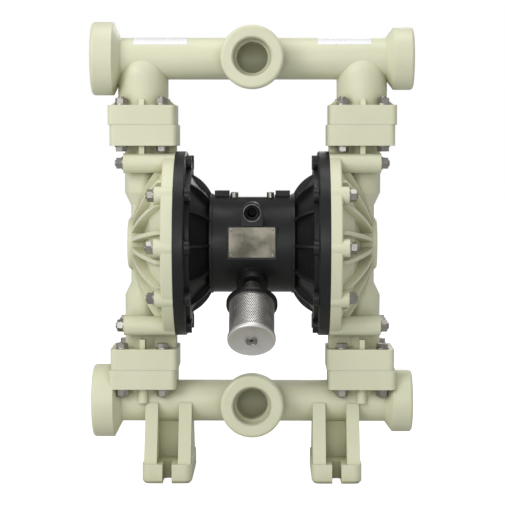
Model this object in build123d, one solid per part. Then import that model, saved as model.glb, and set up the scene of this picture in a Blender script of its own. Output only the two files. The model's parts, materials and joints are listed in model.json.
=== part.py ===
from build123d import *
import os
from math import cos, radians, sin, sqrt

# Air operated double diaphragm pump with plastic fluid caps and pipe manifolds.
# X runs along the rod, to the right seen from the front. Y points away from the front. Z is up.
# The origin is on the floor, midway between the foot slots. All lengths are in millimetres.

# Layout
port_span = 478.0
column_x = 163.0
lower_pipe_height = 112.0
pipe_below_parting = 51.0
body_to_lower_parting = 186.0
body_to_upper_parting = 177.0
pipe_above_parting = 98.6

# Pipe manifolds and their threaded collars
pipe_radius = 31.0
flow_radius = 25.0
port_radius = 28.33
port_depth = 28.0
port_chamfer = 2.0
left_collar_radius = 54.5
left_collar_length = 32.0
left_collar_taper = 12.0
right_collar_radius = 46.5
right_collar_length = 29.5
right_collar_taper = 11.5
front_collar_face = 70.0
front_pipe_radius = 29.5
front_flow_radius = 23.0
collar_edge = 5.0
neck_wall = 6.5
lower_neck_wall = 7.0
dome_below_pipe = 25.0
dome_bore_radius = 20.0
gusset_thickness = 8.0
gusset_reach = 11.0
gusset_height = 14.0
gusset_root = 6.0
neck_boss_radius = 8.0

# Square valve boxes: the manifold half and the cap half
box_side = 100.0
box_corner = 8.0
manifold_half = 29.0
cap_half = 31.0
cap_half_shift = 2.6
box_bolt_x = 30.0
box_bolt_y = 38.0
nut_room = 10.6

# Ball valves
ball_radius = 22.0
ball_lift = 10.0
ball_gap = 0.3
ball_side_room = 2.0
chamber_side_room = 9.0
seat_throat = 15.0
seat_cone = 4.0
seat_height = 7.5
seat_radius = 28.0
seat_ring_height = 2.5
seat_ring_width = 5.0
ball_chamber_height = 28.0
cage_thickness = 5.0
cage_bridge = 4.0
cage_start = 6.0

# Feet
foot_x = 124.5
foot_width = 73.0
foot_depth = 170.0
foot_height = 28.0
foot_edge = 4.0
foot_corner = 12.0
foot_rib_inset = 2.0
foot_rib_setback = 8.0
foot_channel = 31.0
foot_web = 12.0
foot_top_depth = 66.0
slot_width = 13.5
slot_depth = 50.0

# Flanges and rim bolts of the fluid caps and air caps
rim_parting = 114.0
cream_rim_thickness = 17.0
black_rim_thickness = 17.0
rim_bolt_circle = 126.5
rim_edge = 11.2
rim_chamfer = 2.0
rim_bolt_count = 10
long_boss_length = 76.0
long_boss_radius = 14.5
boss_length = 27.0
boss_radius = 13.0
black_boss_length = 7.5
black_boss_radius = 11.0
bead_radius = 118.0
bead_depth = 3.0
chamber_radius = 104.0

# Fluid cap
rim_step_radius = 120.0
shell_knee_depth = 18.0
shell_knee_radius = 88.0
shell_hub_depth = 30.0
hub_radius = 39.0
hub_end = 185.5
hub_edge = 3.0
chamber_knee_depth = 28.0
chamber_knee_radius = 72.0
chamber_floor_radius = 44.0
rod_room_radius = 22.0
cap_rib_count = 18
cap_rib_thickness = 6.0
cap_rib_rise = 3.0
cap_rib_shoulder = 7.0
cap_rib_middle_depth = 32.0
cap_rib_middle_radius = 82.0
cap_rib_hub_inset = 7.0
cap_rib_root = 6.0
column_wall = 4.0
column_waist_radius = 19.0
column_waist_height = 76.5
column_waist_drop = 19.0
elbow_offset = 96.0
elbow_radius = 16.0
elbow_end = 121.0
web_half_width = 22.0

# Air cap
cap_spigot_radius = 44.0
inner_ring_radius = 121.0
inner_ring_depth = 6.5
cone_radius = 100.0
cone_small_radius = 66.0
strip_rise = 1.5
strip_width = 4.4
end_wall = 9.4
air_chamber_depth = 17.0
air_chamber_radius = 94.0
air_floor_radius = 61.0
air_rib_count = 12
air_rib_thickness = 4.0
air_rib_drop = 1.5
air_rib_middle_x = 8.7
air_rib_middle_rise = 14.0
air_rib_end_rise = 4.5
air_rib_root = 2.0
air_rib_inset = 4.0
air_cap_screw_inset = 8.0
air_cap_screw_count = 4

# Centre body
body_radius = 73.0
body_half_length = 58.6
spigot_length = 6.0
cover_drop = 4.0
cover_thickness = 6.0
cover_half_x = 33.0
cover_half_y = 26.0
lug_from_cover = 1.5
lug_from_end = 2.6
lug_half_y = 16.0
lug_rise = 6.0
inlet_height = 48.0
inlet_boss_radius = 16.0
inlet_boss_rise = 4.0
inlet_radius = 9.3
inlet_depth = 22.0
inlet_chamfer = 2.4
inlet_passage_radius = 7.0
pad_half_width = 36.5
pad_half_height = 24.5
pad_height = 4.0
pad_rise = 0.6

# Rod, plates and diaphragms
stroke = 18.0
rod_radius = 10.0
stud_radius = 8.0
bushing_radius = 14.0
bushing_length = 24.0
rod_seal_length = 5.7
plate_radius = 58.0
inner_plate_thickness = 8.0
inner_plate_edge = 4.0
inner_hub_radius = 20.0
inner_hub_length = 6.0
outer_plate_rim = 3.0
outer_plate_thickness = 6.0
outer_plate_slope = 5.0
outer_hub_radius = 26.0
outer_hub_length = 5.0
diaphragm_thickness = 4.0
fold_from_plate = 6.0
fold_from_rim = 6.0
fold_slope = 10.0
fold_depth = 12.0
rod_nut_flats = 24.0
rod_nut_height = 10.0
stud_end = 2.0

# Pilot rod and main air valve
pilot_travel = 4.0
pilot_drop = 30.0
pilot_radius = 5.0
pilot_sleeve_radius = 8.0
valve_end_room = 0.6
valve_half_z = 30.0
valve_depth = 42.0
valve_edge = 3.0
valve_pad_rise = 2.0
valve_pad_margin = 2.0
gasket_thickness = 1.5
spool_travel = 6.0
spool_radius = 13.95
spool_groove_radius = 9.0
spool_groove_near = 10.0
spool_groove_far = 26.0
end_cap_thickness = 8.0
end_cap_inset = 3.0

# Muffler, on a slanting axis through the body axis
muffler_angle = 45.0
muffler_boss_radius = 23.0
muffler_boss_rise = 12.0
muffler_neck_radius = 12.25
muffler_neck_bore = 8.0
muffler_neck_depth = 14.0
exhaust_start = 25.0
muffler_neck_showing = 32.0
muffler_base_length = 5.0
muffler_base_wall = 4.5
muffler_socket_depth = 3.0
mesh_radius = 33.0
mesh_wall = 1.2
mesh_length = 64.0
end_plate_rim = 2.0
end_plate_thickness = 2.5
end_plate_lip = 5.0
eyelet_radius = 8.5
eyelet_height = 2.5
eyelet_crown = 1.5
eyelet_neck = 4.0
eyelet_bore = 2.4

# Fasteners: width across flats, head height, and nut height with its washer
m10 = {"flats": 16.0, "head": 8.4, "nut": 10.4}
m8 = {"flats": 13.0, "head": 5.3}

# Clearances
seat_gap = 0.1
running_gap = 0.05
pocket_gap = 0.25
box_gap = 0.3
chamber_gap = 6.0
rod_room_gap = 3.0
pilot_gap = 2.0
spool_gap = 2.0
overrun = 1.0

# Ball chambers, columns and necks, from the ball outwards
column_bore = ball_radius + ball_side_room
column_radius = column_bore + column_wall
ball_chamber_radius = ball_radius + chamber_side_room
neck_radius = ball_chamber_radius + neck_wall
lower_neck_radius = column_bore + lower_neck_wall

# The rim, and the diaphragm's fold between the plates and the chamber's wall
rim_radius = rim_bolt_circle + rim_edge
fold_inner_radius = plate_radius + fold_from_plate
fold_crest_inner = fold_inner_radius + fold_slope
fold_outer_radius = chamber_radius - fold_from_rim
fold_crest_outer = fold_outer_radius - fold_slope
air_cap_screw_circle = air_floor_radius - air_cap_screw_inset

# What stands on the barrel
strip_radius = body_radius + strip_rise
cover_height = body_radius - cover_drop
lug_inner_x = cover_half_x + lug_from_cover
lug_outer_x = body_half_length - lug_from_end
lug_height = body_radius + lug_rise
inlet_boss_face = body_radius + inlet_boss_rise
pad_face = body_radius + pad_rise
valve_pad_face = body_radius + valve_pad_rise
valve_half_x = body_half_length - end_cap_thickness - valve_end_room

# Muffler places along its axis, and what fits round the mesh tube
muffler_boss_end = body_radius + muffler_boss_rise
muffler_base_start = muffler_boss_end + muffler_neck_showing
mesh_end = muffler_base_start + muffler_base_length + mesh_length
muffler_base_radius = mesh_radius + muffler_base_wall
end_plate_radius = mesh_radius + end_plate_rim

# Levels that follow from the layout
lower_parting = lower_pipe_height + pipe_below_parting
body_height = lower_parting + body_to_lower_parting
upper_parting = body_height + body_to_upper_parting
upper_pipe_height = upper_parting + pipe_above_parting
body_middle = Plane(origin=(0, 0, body_height), z_dir=(0, 0, 1))


def bar_x(radius, start, end, y=0.0, z=0.0):
    """A round bar along X."""
    bar = Cylinder(radius, end - start, align=(Align.CENTER, Align.CENTER, Align.MIN))
    return Pos(start, y, z) * Rot(0, 90, 0) * bar


def bar_y(radius, start, end, x=0.0, z=0.0):
    """A round bar along Y."""
    bar = Cylinder(radius, end - start, align=(Align.CENTER, Align.CENTER, Align.MIN))
    return Pos(x, start, z) * Rot(-90, 0, 0) * bar


def bar_z(radius, start, end, x=0.0, y=0.0):
    """A round bar along Z."""
    bar = Cylinder(radius, end - start, align=(Align.CENTER, Align.CENTER, Align.MIN))
    return Pos(x, y, start) * bar


def block(x_range, y_range, z_range):
    """A box between three pairs of limits."""
    sizes = [high - low for low, high in (x_range, y_range, z_range)]
    middles = [(high + low) / 2 for low, high in (x_range, y_range, z_range)]
    return Pos(*middles) * Box(*sizes)


def turned(points):
    """A solid turned about X from (x, radius) points."""
    outline = Polyline(*[(x, 0, radius) for x, radius in points], close=True)
    return revolve(make_face(outline), Axis.X)


def turned_upright(points):
    """A solid turned about Z from (radius, z) points."""
    outline = Polyline(*[(radius, 0, z) for radius, z in points], close=True)
    return revolve(make_face(outline), Axis.Z)


def at_body(shape):
    """Move a shape drawn about the X axis up to the body axis."""
    return Pos(0, 0, body_height) * shape


def around_axis(shape, angles):
    """Copies of a shape turned about X, each angle counted from straight up."""
    return [Rot(angle, 0, 0) * shape for angle in angles]


def mirrored(shape):
    """The left-hand twin of a right-hand piece."""
    return mirror(shape, about=Plane.YZ)


def below_body(shapes):
    """The twins of shapes, mirrored to the other side of the body axis's level."""
    return [mirror(shape, about=body_middle) for shape in shapes]


def rim_angles():
    """The bolt angles: the first pair straddles the top."""
    step = 360 / rim_bolt_count
    return [step * (index + 0.5) for index in range(rim_bolt_count)]


def is_long(angle):
    """The bolts beside the columns stand on long bosses."""
    return abs(sin(radians(angle))) < sin(radians(0.75 * 360 / rim_bolt_count))


def hexagon(flats, height):
    """A hexagonal prism standing on the XY plane, with two corners on the Y axis."""
    return extrude(RegularPolygon(flats / 2, 6, major_radius=False, rotation=90), height)


# Manifolds


def collar(radius, length, taper, pipe):
    """A pipe collar as (distance from its open face, radius) points, down to the pipe."""
    return [(0, radius), (length, radius), (length + taper, pipe)]


def port(bore):
    """A threaded bore as (distance from its mouth, radius) points, down to the flow bore."""
    mouth = port_radius + port_chamfer
    return [
        (-overrun, mouth + overrun),
        (port_chamfer, port_radius),
        (port_depth, port_radius),
        (port_depth, bore),
    ]


def along_pipe(left, right):
    """A solid about X between two end profiles, each counted from its own end of the pipe."""
    half = port_span / 2
    points = [(distance - half, radius) for distance, radius in left]
    points = points + [(half - distance, radius) for distance, radius in reversed(right)]
    return turned([(points[0][0], 0)] + points + [(points[-1][0], 0)])


def front_branch(profile, radius):
    """A solid along Y from the front collar's face to the pipe's axis."""
    points = [(size, distance) for distance, size in profile]
    points = [(0, points[0][1])] + points + [(radius, front_collar_face), (0, front_collar_face)]
    return Pos(0, -front_collar_face, 0) * Rot(-90, 0, 0) * turned_upright(points)


def pipe_run(height):
    """The horizontal pipe with its three collars, rounded at their faces."""
    left = collar(left_collar_radius, left_collar_length, left_collar_taper, pipe_radius)
    right = collar(right_collar_radius, right_collar_length, right_collar_taper, pipe_radius)
    front = collar(right_collar_radius, right_collar_length, right_collar_taper, front_pipe_radius)
    run = along_pipe(left, right) + front_branch(front, front_pipe_radius)
    across = run.edges().group_by(Axis.X)
    rims = across[0] + across[-1] + run.edges().group_by(Axis.Y)[0]
    return Pos(0, 0, height) * fillet(rims, collar_edge)


def pipe_bores(height):
    """The flow bores with the three threaded ports."""
    straight = along_pipe(port(flow_radius), port(flow_radius))
    return Pos(0, 0, height) * (straight + front_branch(port(front_flow_radius), front_flow_radius))


def valve_box(bottom, top, inward=0.0):
    """One half of the right-hand square valve box, moved inward where asked."""
    middle = column_x - inward
    x_range = (middle - box_side / 2, middle + box_side / 2)
    y_range = (-box_side / 2, box_side / 2)
    half = block(x_range, y_range, (bottom, top))
    return fillet(half.edges().filter_by(Axis.Z), box_corner)


def box_bolt_places():
    """The four bolt positions of the right-hand box."""
    places = []
    for x_side in (-1, 1):
        for y_side in (-1, 1):
            places.append((column_x + x_side * box_bolt_x, y_side * box_bolt_y))
    return places


def gussets(level, up, neck, sides):
    """Small ribs between a box face and its neck. up is 1 above the box and -1 below it."""
    root = neck - gusset_root
    corners = [
        (root, 0, level - up),
        (neck + gusset_reach, 0, level - up),
        (neck + gusset_reach, 0, level),
        (root, 0, level + up * gusset_height),
    ]
    rib = extrude(make_face(Polyline(*corners, close=True)), gusset_thickness / 2, both=True)
    return [Pos(column_x, 0, 0) * Rot(0, 0, side) * rib for side in sides]


def ball_rest_height(parting):
    """The centre of a ball resting above its seat's cone, which has a 45 degree slope."""
    return parting - seat_cone - seat_throat + sqrt(2) * (ball_radius + ball_gap)


def ball_cage(parting, bore):
    """Two crossed guide ribs with room for the ball's lift, in a bore around the column axis."""
    rest = ball_rest_height(parting)
    room = ball_radius + ball_gap
    ceiling = rest + ball_lift + room
    bottom = parting + cage_start
    plate = block((-bore, bore), (-cage_thickness / 2, cage_thickness / 2), (bottom, ceiling + cage_bridge))
    cross = plate + Rot(0, 0, 90) * plate
    return Pos(column_x, 0, 0) * (cross - bar_z(room, bottom - overrun, ceiling))


def seat_recess(parting):
    """The pocket that holds a seat and its sealing ring."""
    depth = seat_height + seat_ring_height
    return bar_z(seat_radius + seat_gap, parting - depth, parting + overrun, column_x)


def upper_leg():
    """The right-hand leg of the upper manifold, with its dome in front of the pipe."""
    box_top = upper_parting + manifold_half
    dome = upper_pipe_height - dome_below_pipe
    neck = bar_z(neck_radius, upper_parting, dome, column_x)
    box = valve_box(upper_parting, box_top)
    ribs = gussets(box_top, 1, neck_radius, (0, 90, 180, 270))
    return [box, neck, Pos(column_x, 0, dome) * Sphere(neck_radius)] + ribs


def upper_leg_bores():
    """The ball chamber of the right-hand upper leg, narrowing into the pipe's bore."""
    dome = upper_pipe_height - dome_below_pipe
    outline = [
        (0, upper_parting - overrun),
        (ball_chamber_radius, upper_parting - overrun),
        (ball_chamber_radius, dome),
        (dome_bore_radius, dome + dome_bore_radius),
        (0, dome + dome_bore_radius),
    ]
    return [Pos(column_x, 0, 0) * turned_upright(outline)]


def both_sides(shapes):
    """Right-hand shapes followed by their left-hand twins."""
    return shapes + [mirrored(shape) for shape in shapes]


def upper_manifold():
    """The discharge manifold."""
    solid = pipe_run(upper_pipe_height) + both_sides(upper_leg())
    solid = solid - both_sides(upper_leg_bores()) - pipe_bores(upper_pipe_height)
    return solid + both_sides([ball_cage(upper_parting, ball_chamber_radius + overrun)])


def foot():
    """The right-hand foot: two sloping ribs joined by a web, on a base with open slots."""
    half_depth = foot_depth / 2
    rib_x = foot_width / 2 - foot_rib_inset
    rib_y = half_depth - foot_rib_setback
    base = extrude(RectangleRounded(foot_width, foot_depth, foot_corner), foot_height)
    base = chamfer(base.edges().group_by(Axis.Z)[0], foot_edge)
    corners = [
        (-rib_x, -foot_top_depth / 2, lower_pipe_height),
        (-rib_x, -rib_y, foot_height),
        (-rib_x, rib_y, foot_height),
        (-rib_x, foot_top_depth / 2, lower_pipe_height),
    ]
    ribs = extrude(make_face(Polyline(*corners, close=True)), 2 * rib_x, dir=(1, 0, 0))
    channel = block(
        (-foot_channel / 2, foot_channel / 2),
        (-half_depth - overrun, -foot_web / 2),
        (foot_height, lower_pipe_height + overrun),
    )
    slot_end = slot_depth - slot_width / 2 - half_depth
    slot_x = (-slot_width / 2, slot_width / 2)
    slot = block(slot_x, (-half_depth - overrun, slot_end), (-overrun, foot_height))
    slot = slot + bar_z(slot_width / 2, -overrun, foot_height, 0, slot_end)
    cuts = [channel, slot]
    cuts = cuts + [mirror(cut, about=Plane.XZ) for cut in cuts]
    return Pos(foot_x, 0, 0) * (base + ribs - cuts)


def lower_box():
    """The right-hand box of the lower manifold, with its neck, two bosses beside it and gussets."""
    bottom = lower_parting - manifold_half
    neck = bar_z(lower_neck_radius, lower_pipe_height, bottom + overrun, column_x)
    boss = bar_z(neck_boss_radius, lower_pipe_height, bottom + overrun, column_x, -lower_neck_radius)
    pieces = [valve_box(bottom, lower_parting), neck, boss, mirror(boss, about=Plane.XZ)]
    return pieces + gussets(bottom, -1, lower_neck_radius, (90, 270))


def lower_box_bores():
    """The bore up to the seat, and room for the nuts under the box and for the cap beside the collar."""
    bottom = lower_parting - manifold_half
    cap_room = block(
        (column_x - box_side / 2, column_x + box_side / 2 + box_gap),
        (-box_side / 2 - box_gap, box_side / 2 + box_gap),
        (lower_parting, lower_parting + cap_half),
    )
    bore = bar_z(column_bore, lower_pipe_height, lower_parting, column_x)
    bores = [bore, seat_recess(lower_parting), cap_room]
    for x, y in box_bolt_places():
        bores.append(bar_z(nut_room, bottom - m10["nut"] - overrun, bottom, x, y))
    return bores


def lower_manifold():
    """The suction manifold with the two feet moulded on."""
    solid = pipe_run(lower_pipe_height) + both_sides([foot()]) + both_sides(lower_box())
    return solid - both_sides(lower_box_bores()) - pipe_bores(lower_pipe_height)


# Fluid caps


def cap_shell():
    """The cap's rim flange, dished shell and hub, without its hollow."""
    rim = rim_parting + cream_rim_thickness
    outline = [
        (rim_parting, 0),
        (rim_parting, rim_radius),
        (rim - rim_chamfer, rim_radius),
        (rim, rim_radius - rim_chamfer),
        (rim, rim_step_radius),
        (rim + shell_knee_depth, shell_knee_radius),
        (rim + shell_hub_depth, hub_radius),
        (hub_end - hub_edge, hub_radius),
        (hub_end, hub_radius - hub_edge),
        (hub_end, 0),
    ]
    return turned(outline)


def cap_hollow():
    """The liquid chamber: a rebate for the diaphragm's bead, and room for the rod's end at full stroke."""
    floor = rod_nut_face() + stroke + chamber_gap
    rod_room = rod_end() + stroke + rod_room_gap
    outline = [
        (rim_parting - overrun, 0),
        (rim_parting - overrun, bead_radius),
        (rim_parting + bead_depth, bead_radius),
        (rim_parting + bead_depth, chamber_radius),
        (rim_parting + chamber_knee_depth, chamber_knee_radius),
        (floor, chamber_floor_radius),
        (floor, rod_room_radius),
        (rod_room, rod_room_radius),
        (rod_room, 0),
    ]
    return turned(outline)


def cap_rib():
    """One rib of the cap at the top of the shell, with a rounded back between rim and hub."""
    rim = rim_parting + cream_rim_thickness
    top = rim_step_radius + cap_rib_rise
    shoulder = rim + cap_rib_shoulder
    hub_x = hub_end - cap_rib_hub_inset
    middle = (rim + cap_rib_middle_depth, 0, cap_rib_middle_radius)
    back = ThreePointArc((shoulder, 0, top), middle, (hub_x, 0, hub_radius))
    sides = Polyline(
        (hub_x, 0, hub_radius),
        (hub_x, 0, hub_radius - cap_rib_root),
        (rim + shell_knee_depth, 0, hub_radius - cap_rib_root),
        (rim - overrun, 0, chamber_radius),
        (rim - overrun, 0, top),
        (shoulder, 0, top),
    )
    return extrude(make_face(back + sides), cap_rib_thickness / 2, both=True)


def rim_bar(radius, start, end, angle):
    """A bar along X on the rim's bolt circle."""
    return Rot(angle, 0, 0) * bar_x(radius, start, end, 0, rim_bolt_circle)


def rim_hexagon(flats, start, height, angle):
    """A hexagonal prism along X on the rim's bolt circle."""
    return Rot(angle, 0, 0) * Pos(start, 0, rim_bolt_circle) * Rot(0, 90, 0) * hexagon(flats, height)


def boss_end(angle):
    """Where a boss of the fluid cap ends and the bolt's nut sits."""
    return rim_parting + (long_boss_length if is_long(angle) else boss_length)


def cap_bosses():
    """The bolt bosses on the cap's outer side."""
    bosses = []
    for angle in rim_angles():
        radius = long_boss_radius if is_long(angle) else boss_radius
        bosses.append(rim_bar(radius, rim_parting, boss_end(angle), angle))
    return bosses


def cap_column(reach):
    """A liquid column above the body with its web, valve-box half and gussets, reach being its height."""
    top = body_height + reach
    box_bottom = top - cap_half
    waist = body_height + column_waist_height
    outline = [
        (0, body_height + hub_radius / 2),
        (column_waist_radius, body_height + hub_radius / 2),
        (column_waist_radius, waist - column_waist_drop),
        (column_radius, waist),
        (column_radius, box_bottom + overrun),
        (0, box_bottom + overrun),
    ]
    column = Pos(column_x, 0, 0) * turned_upright(outline)
    web = block((rim_parting, column_x), (-web_half_width, web_half_width), (waist, box_bottom + overrun))
    corners = [
        (column_x, column_radius - gusset_root, box_bottom - gusset_height),
        (column_x, box_side / 2 - gusset_root, box_bottom - gusset_height),
        (column_x, box_side / 2 - gusset_root, box_bottom + overrun),
        (column_x, column_radius - gusset_root, box_bottom + overrun),
    ]
    gusset = extrude(make_face(Polyline(*corners, close=True)), gusset_thickness / 2, both=True)
    return [column, web, valve_box(box_bottom, top, cap_half_shift), gusset, mirror(gusset, about=Plane.XZ)]


def cap_passage(reach):
    """The bore of a column above the body and the elbow that leads it into the chamber."""
    low = body_height + elbow_offset - elbow_radius
    column = bar_z(column_bore, low, body_height + reach, column_x)
    return [column, bar_x(elbow_radius, elbow_end, column_x, 0, body_height + elbow_offset)]


def fluid_cap():
    """The right-hand fluid cap."""
    step = 360 / cap_rib_count
    angles = [step * index for index in range(cap_rib_count) if index % (cap_rib_count // 2)]
    columns = cap_column(body_to_upper_parting) + below_body(cap_column(body_to_lower_parting))
    passages = cap_passage(body_to_upper_parting) + below_body(cap_passage(body_to_lower_parting))
    solid = at_body(cap_shell() + around_axis(cap_rib(), angles) + cap_bosses()) + columns
    chamber_top = lower_parting + ball_chamber_height
    suction_chamber = bar_z(ball_chamber_radius, lower_parting - overrun, chamber_top, column_x)
    solid = solid - (passages + [suction_chamber, seat_recess(upper_parting), at_body(cap_hollow())])
    room = bar_z(ball_chamber_radius + overrun, lower_parting, chamber_top, column_x)
    room = room + bar_z(column_bore + overrun, lower_parting, body_height, column_x)
    return solid + (ball_cage(lower_parting, ball_chamber_radius + overrun) & room)


# Air caps


def air_cap_shell():
    """The air cap's flange, cone and end strip."""
    back = rim_parting - black_rim_thickness
    strip = body_half_length + strip_width
    outline = [
        (rim_parting, cap_spigot_radius),
        (rim_parting, rim_radius),
        (back + rim_chamfer, rim_radius),
        (back, rim_radius - rim_chamfer),
        (back, inner_ring_radius),
        (back - inner_ring_depth, inner_ring_radius),
        (back - inner_ring_depth, cone_radius),
        (strip, cone_small_radius),
        (strip, strip_radius),
        (body_half_length, strip_radius),
        (body_half_length, cap_spigot_radius),
    ]
    return turned(outline)


def air_cap_hollow():
    """The air chamber behind the diaphragm."""
    floor = body_half_length + end_wall
    outline = [
        (rim_parting + overrun, 0),
        (rim_parting + overrun, bead_radius),
        (rim_parting - bead_depth, bead_radius),
        (rim_parting - bead_depth, chamber_radius),
        (rim_parting - air_chamber_depth, air_chamber_radius),
        (floor, air_floor_radius),
        (floor, 0),
    ]
    return turned(outline)


def air_cap_rib():
    """One curved rib over the cone."""
    near = body_half_length + strip_width / 2
    low = strip_radius - air_rib_drop
    far = rim_parting - black_rim_thickness - air_rib_inset
    high = cone_radius + air_rib_end_rise
    middle = (near + air_rib_middle_x, 0, low + air_rib_middle_rise)
    back = ThreePointArc((near, 0, low), middle, (far, 0, high))
    sides = Polyline(
        (far, 0, high),
        (far, 0, cone_radius - air_rib_root),
        (near, 0, cone_small_radius - air_rib_root),
        (near, 0, low),
    )
    return extrude(make_face(back + sides), air_rib_thickness / 2, both=True)


def air_cap():
    """The right-hand air cap, with hexagonal pockets that keep the rim bolts' heads from turning."""
    back = rim_parting - black_rim_thickness
    end = back - black_boss_length
    ribs = around_axis(air_cap_rib(), [360 / air_rib_count * index for index in range(air_rib_count)])
    bosses = [rim_bar(black_boss_radius, end, back, angle) for angle in rim_angles()]
    flats = m10["flats"] + 2 * pocket_gap
    pockets = [rim_hexagon(flats, end - overrun, m10["head"] + overrun, angle) for angle in rim_angles()]
    return at_body(air_cap_shell() + ribs + bosses - air_cap_hollow() - pockets)


def air_cap_screws():
    """The heads of the screws that hold the right-hand air cap to the centre body."""
    step = 360 / air_cap_screw_count
    place = Pos(body_half_length + end_wall, 0, air_cap_screw_circle) * Rot(0, 90, 0)
    head = place * hexagon(m8["flats"], m8["head"])
    angles = [step * (index + 0.5) for index in range(air_cap_screw_count)]
    return Compound([at_body(piece) for piece in around_axis(head, angles)])


# Centre body


def muffler_frame():
    """The muffler's own frame, its Z axis running out of the body."""
    tilt = radians(muffler_angle)
    return Plane(origin=(0, 0, body_height), x_dir=(1, 0, 0), z_dir=(0, -cos(tilt), -sin(tilt)))


def center_body_outside():
    """The barrel with its lugs, inlet boss, plate pad, muffler boss and valve pad."""
    reach = body_half_length + spigot_length
    inlet_z = body_height + inlet_height
    pad_z = body_height + pad_height
    lug_z = (body_height, body_height + lug_height)
    lug = block((lug_inner_x, lug_outer_x), (-lug_half_y, lug_half_y), lug_z)
    pad = block(
        (-pad_half_width, pad_half_width),
        (-pad_face, 0),
        (pad_z - pad_half_height, pad_z + pad_half_height),
    )
    bridge = block(
        (-inlet_boss_radius, inlet_boss_radius),
        (-inlet_boss_face, 0),
        (pad_z + pad_half_height, inlet_z),
    )
    valve_x = valve_half_x + valve_pad_margin
    valve_z = valve_half_z + valve_pad_margin
    valve_pad_z = (body_height - valve_z, body_height + valve_z)
    valve_pad = block((-valve_x, valve_x), (0, valve_pad_face), valve_pad_z)
    return [
        bar_x(cap_spigot_radius - seat_gap, -reach, reach, 0, body_height),
        lug,
        mirrored(lug),
        pad,
        bridge,
        bar_y(inlet_boss_radius, -inlet_boss_face, 0, 0, inlet_z),
        valve_pad,
        muffler_frame() * bar_z(muffler_boss_radius, 0, muffler_boss_end),
    ]


def inlet_bore():
    """The threaded air inlet, mouth at the origin, running along +Z."""
    mouth = inlet_radius + inlet_chamfer
    outline = [
        (0, -overrun),
        (mouth + overrun, -overrun),
        (inlet_radius, inlet_chamfer),
        (inlet_radius, inlet_depth),
        (inlet_passage_radius, inlet_depth),
        (inlet_passage_radius, inlet_boss_face + inlet_depth),
        (0, inlet_boss_face + inlet_depth),
    ]
    return turned_upright(outline)


def center_body_bores():
    """Bores for the rod, pilot sleeve, inlet and muffler neck, and the cover's recess."""
    reach = body_half_length + spigot_length + overrun
    neck_start = muffler_boss_end - muffler_neck_depth
    neck = bar_z(muffler_neck_radius + seat_gap, neck_start, muffler_boss_end + overrun)
    recess = block(
        (-cover_half_x, cover_half_x),
        (-cover_half_y, cover_half_y),
        (body_height + cover_height - cover_thickness, body_height + body_radius + overrun),
    )
    return [
        bar_x(bushing_radius + running_gap, -reach, reach, 0, body_height),
        bar_x(pilot_sleeve_radius + running_gap, -reach, reach, 0, body_height - pilot_drop),
        Pos(0, -inlet_boss_face, body_height + inlet_height) * Rot(-90, 0, 0) * inlet_bore(),
        muffler_frame() * neck,
        muffler_frame() * bar_z(muffler_neck_bore, exhaust_start, muffler_boss_end),
        recess,
    ]


def center_body():
    """The air motor's barrel between the two air caps."""
    barrel = bar_x(body_radius, -body_half_length, body_half_length, 0, body_height)
    return barrel + center_body_outside() - center_body_bores()


def top_cover():
    """The flat cover let into the top of the barrel."""
    x = cover_half_x - seat_gap
    y = cover_half_y - seat_gap
    top = body_height + cover_height
    return block((-x, x), (-y, y), (top - cover_thickness, top))


# Rod, plates and diaphragms


def inner_plate_back():
    """The flat back of the inner plate, which the pilot rod meets."""
    return rim_parting - diaphragm_thickness / 2 - inner_plate_thickness


def rod_nut_face():
    """Where the nut meets the outer plate."""
    return rim_parting + diaphragm_thickness / 2 + outer_plate_thickness + outer_hub_length


def rod_end():
    """The end of the rod's stud."""
    return rod_nut_face() + rod_nut_height + stud_end


def connecting_rod():
    """The rod with a stud end through the plates on each side."""
    shoulder = inner_plate_back() - inner_hub_length
    return at_body(bar_x(rod_radius, -shoulder, shoulder) + bar_x(stud_radius, -rod_end(), rod_end()))


def inner_plate():
    """The right-hand plate on the air side."""
    face = rim_parting - diaphragm_thickness / 2
    back = inner_plate_back()
    hole = stud_radius + running_gap
    outline = [
        (face, hole),
        (face, plate_radius),
        (back + inner_plate_edge, plate_radius),
        (back, plate_radius - inner_plate_edge),
        (back, inner_hub_radius),
        (back - inner_hub_length, inner_hub_radius),
        (back - inner_hub_length, hole),
    ]
    return at_body(turned(outline))


def outer_plate():
    """The right-hand plate on the liquid side."""
    face = rim_parting + diaphragm_thickness / 2
    back = face + outer_plate_thickness
    hole = stud_radius + running_gap
    outline = [
        (face, hole),
        (face, plate_radius),
        (face + outer_plate_rim, plate_radius),
        (back, plate_radius - outer_plate_slope),
        (back + outer_hub_length, outer_hub_radius),
        (back + outer_hub_length, hole),
    ]
    return at_body(turned(outline))


def rod_nut():
    """The right-hand nut on the rod."""
    blank = hexagon(rod_nut_flats, rod_nut_height) - bar_z(stud_radius + running_gap, 0, rod_nut_height)
    return Pos(rod_nut_face(), 0, body_height) * Rot(0, 90, 0) * blank


def diaphragm():
    """The right-hand diaphragm: a flat middle, one rolled fold and a bead clamped by the rims."""
    low = rim_parting - diaphragm_thickness / 2
    high = rim_parting + diaphragm_thickness / 2
    neck = chamber_radius + seat_gap
    bead = bead_depth - seat_gap
    edge = bead_radius - seat_gap
    slope = diaphragm_thickness / 2
    outline = [
        (low, stud_radius + running_gap),
        (low, fold_inner_radius),
        (low - fold_depth, fold_crest_inner),
        (low - fold_depth, fold_crest_outer),
        (low, fold_outer_radius),
        (low, neck),
        (rim_parting - bead, neck),
        (rim_parting - bead, edge),
        (rim_parting + bead, edge),
        (rim_parting + bead, neck),
        (high, neck),
        (high, fold_outer_radius - slope),
        (high - fold_depth, fold_crest_outer - slope),
        (high - fold_depth, fold_crest_inner + slope),
        (high, fold_inner_radius + slope),
        (high, stud_radius + running_gap),
    ]
    return at_body(turned(outline))


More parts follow.
